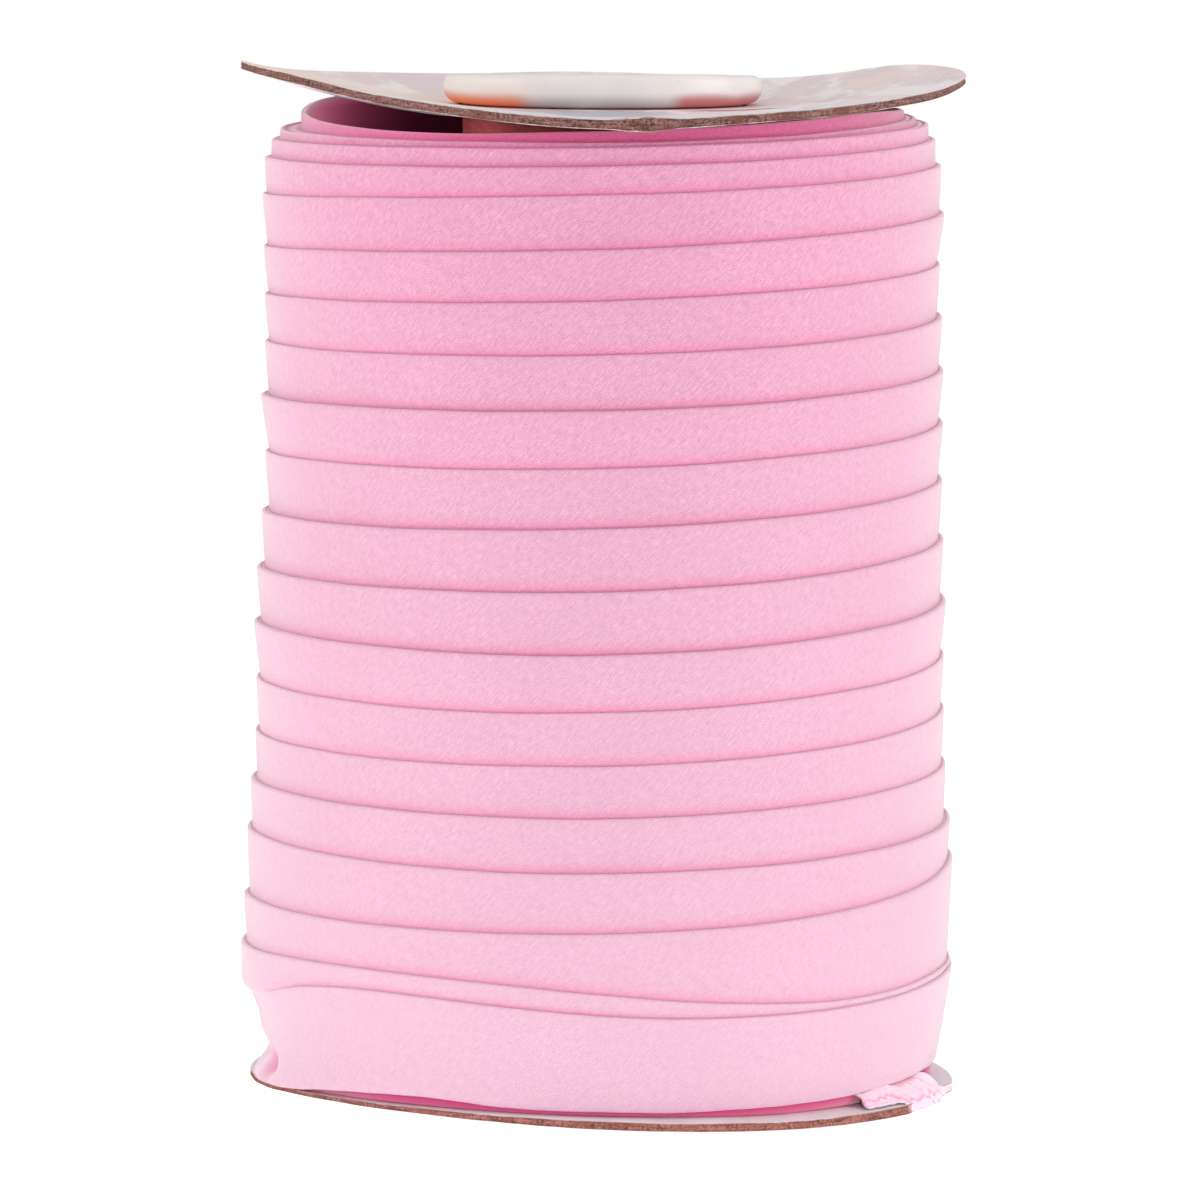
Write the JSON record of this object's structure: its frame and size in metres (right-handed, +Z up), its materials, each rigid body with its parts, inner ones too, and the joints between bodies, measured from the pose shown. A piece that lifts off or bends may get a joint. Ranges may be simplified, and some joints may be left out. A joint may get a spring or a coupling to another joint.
{
  "type": "roll of bias binding on a card reel",
  "caption": "Roll of folded cotton bias binding, wound in overlapping turns on a card tube between two warped card flanges.",
  "frame": {"origin": "on the surface it stands on, under the axis of the tube", "axes": "+Z up along the tube; -Y is the front, with the tape's loose end at its lower right"},
  "size_m": [0.14, 0.14, 0.2035],
  "materials": {
    "binding": "matt woven polycotton cut on the bias",
    "tube": "white gloss-faced card with a curled end",
    "board": "grey board, faced with white glossy paper"
  },
  "bodies": {
    "root": {"winding": "binding", "loose_end": "binding", "core_tube": "tube", "top_flange": "board", "bottom_flange": "board"}
  },
  "joints": []
}
